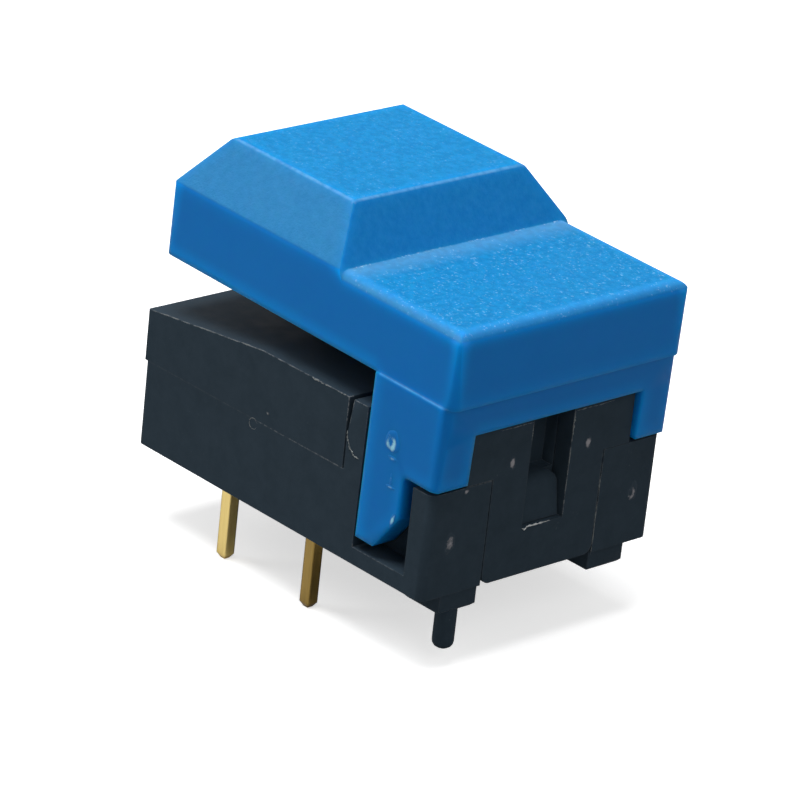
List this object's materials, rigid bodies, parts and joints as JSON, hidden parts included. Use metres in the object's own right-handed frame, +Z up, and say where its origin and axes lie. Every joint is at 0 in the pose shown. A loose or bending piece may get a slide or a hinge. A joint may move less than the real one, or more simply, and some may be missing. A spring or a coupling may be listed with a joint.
{
  "type": "momentary push button switch",
  "caption": "Piano-key style momentary push button switch for a circuit board: hinged key over a snap-fit housing with solder pins.",
  "frame": {"origin": "on the board's surface, midway between the housing's ends and sides", "axes": "+Z up from the board, +X along the housing towards the hinge end"},
  "size_m": [0.0176, 0.0122, 0.0169],
  "materials": {
    "black_plastic": "moulded black plastic, satin",
    "blue_plastic": "moulded blue plastic, fine spark-eroded texture on top, smooth sides",
    "natural_plastic": "unpigmented moulded plastic",
    "spring_steel": "drawn spring wire",
    "contact_metal": "stamped copper alloy, gold flash",
    "plated_pins": "pale gold plating on square wire"
  },
  "bodies": {
    "housing": {"base": "black_plastic", "upper_cover": "black_plastic", "return_spring": "spring_steel", "terminal_1": "plated_pins", "terminal_2": "plated_pins", "terminal_3": "plated_pins", "terminal_4": "plated_pins"},
    "key": {"key_cap": "blue_plastic"},
    "slide": {"plunger": "natural_plastic", "contact_bridge_near": "contact_metal", "contact_bridge_far": "contact_metal", "contact_spring_near": "spring_steel", "contact_spring_far": "spring_steel"}
  },
  "joints": [
    {"name": "key_press", "type": "hinge", "parent": "housing", "child": "key", "pos_m": [0.00615, 0, 0.0066], "axis": [0, -1, 0], "range_deg": [0, 9], "stiffness_Nm_per_rad": 0.03, "springref_deg": -11.46},
    {"name": "plunger_slide", "type": "slide", "parent": "housing", "child": "slide", "axis": [0, 0, -1], "range_m": [0, 0.00115], "deforming": ["return_spring"]}
  ],
  "couplings": [
    {"joint": "key_press", "follows": "plunger_slide", "rad_per_m": 136.8}
  ]
}
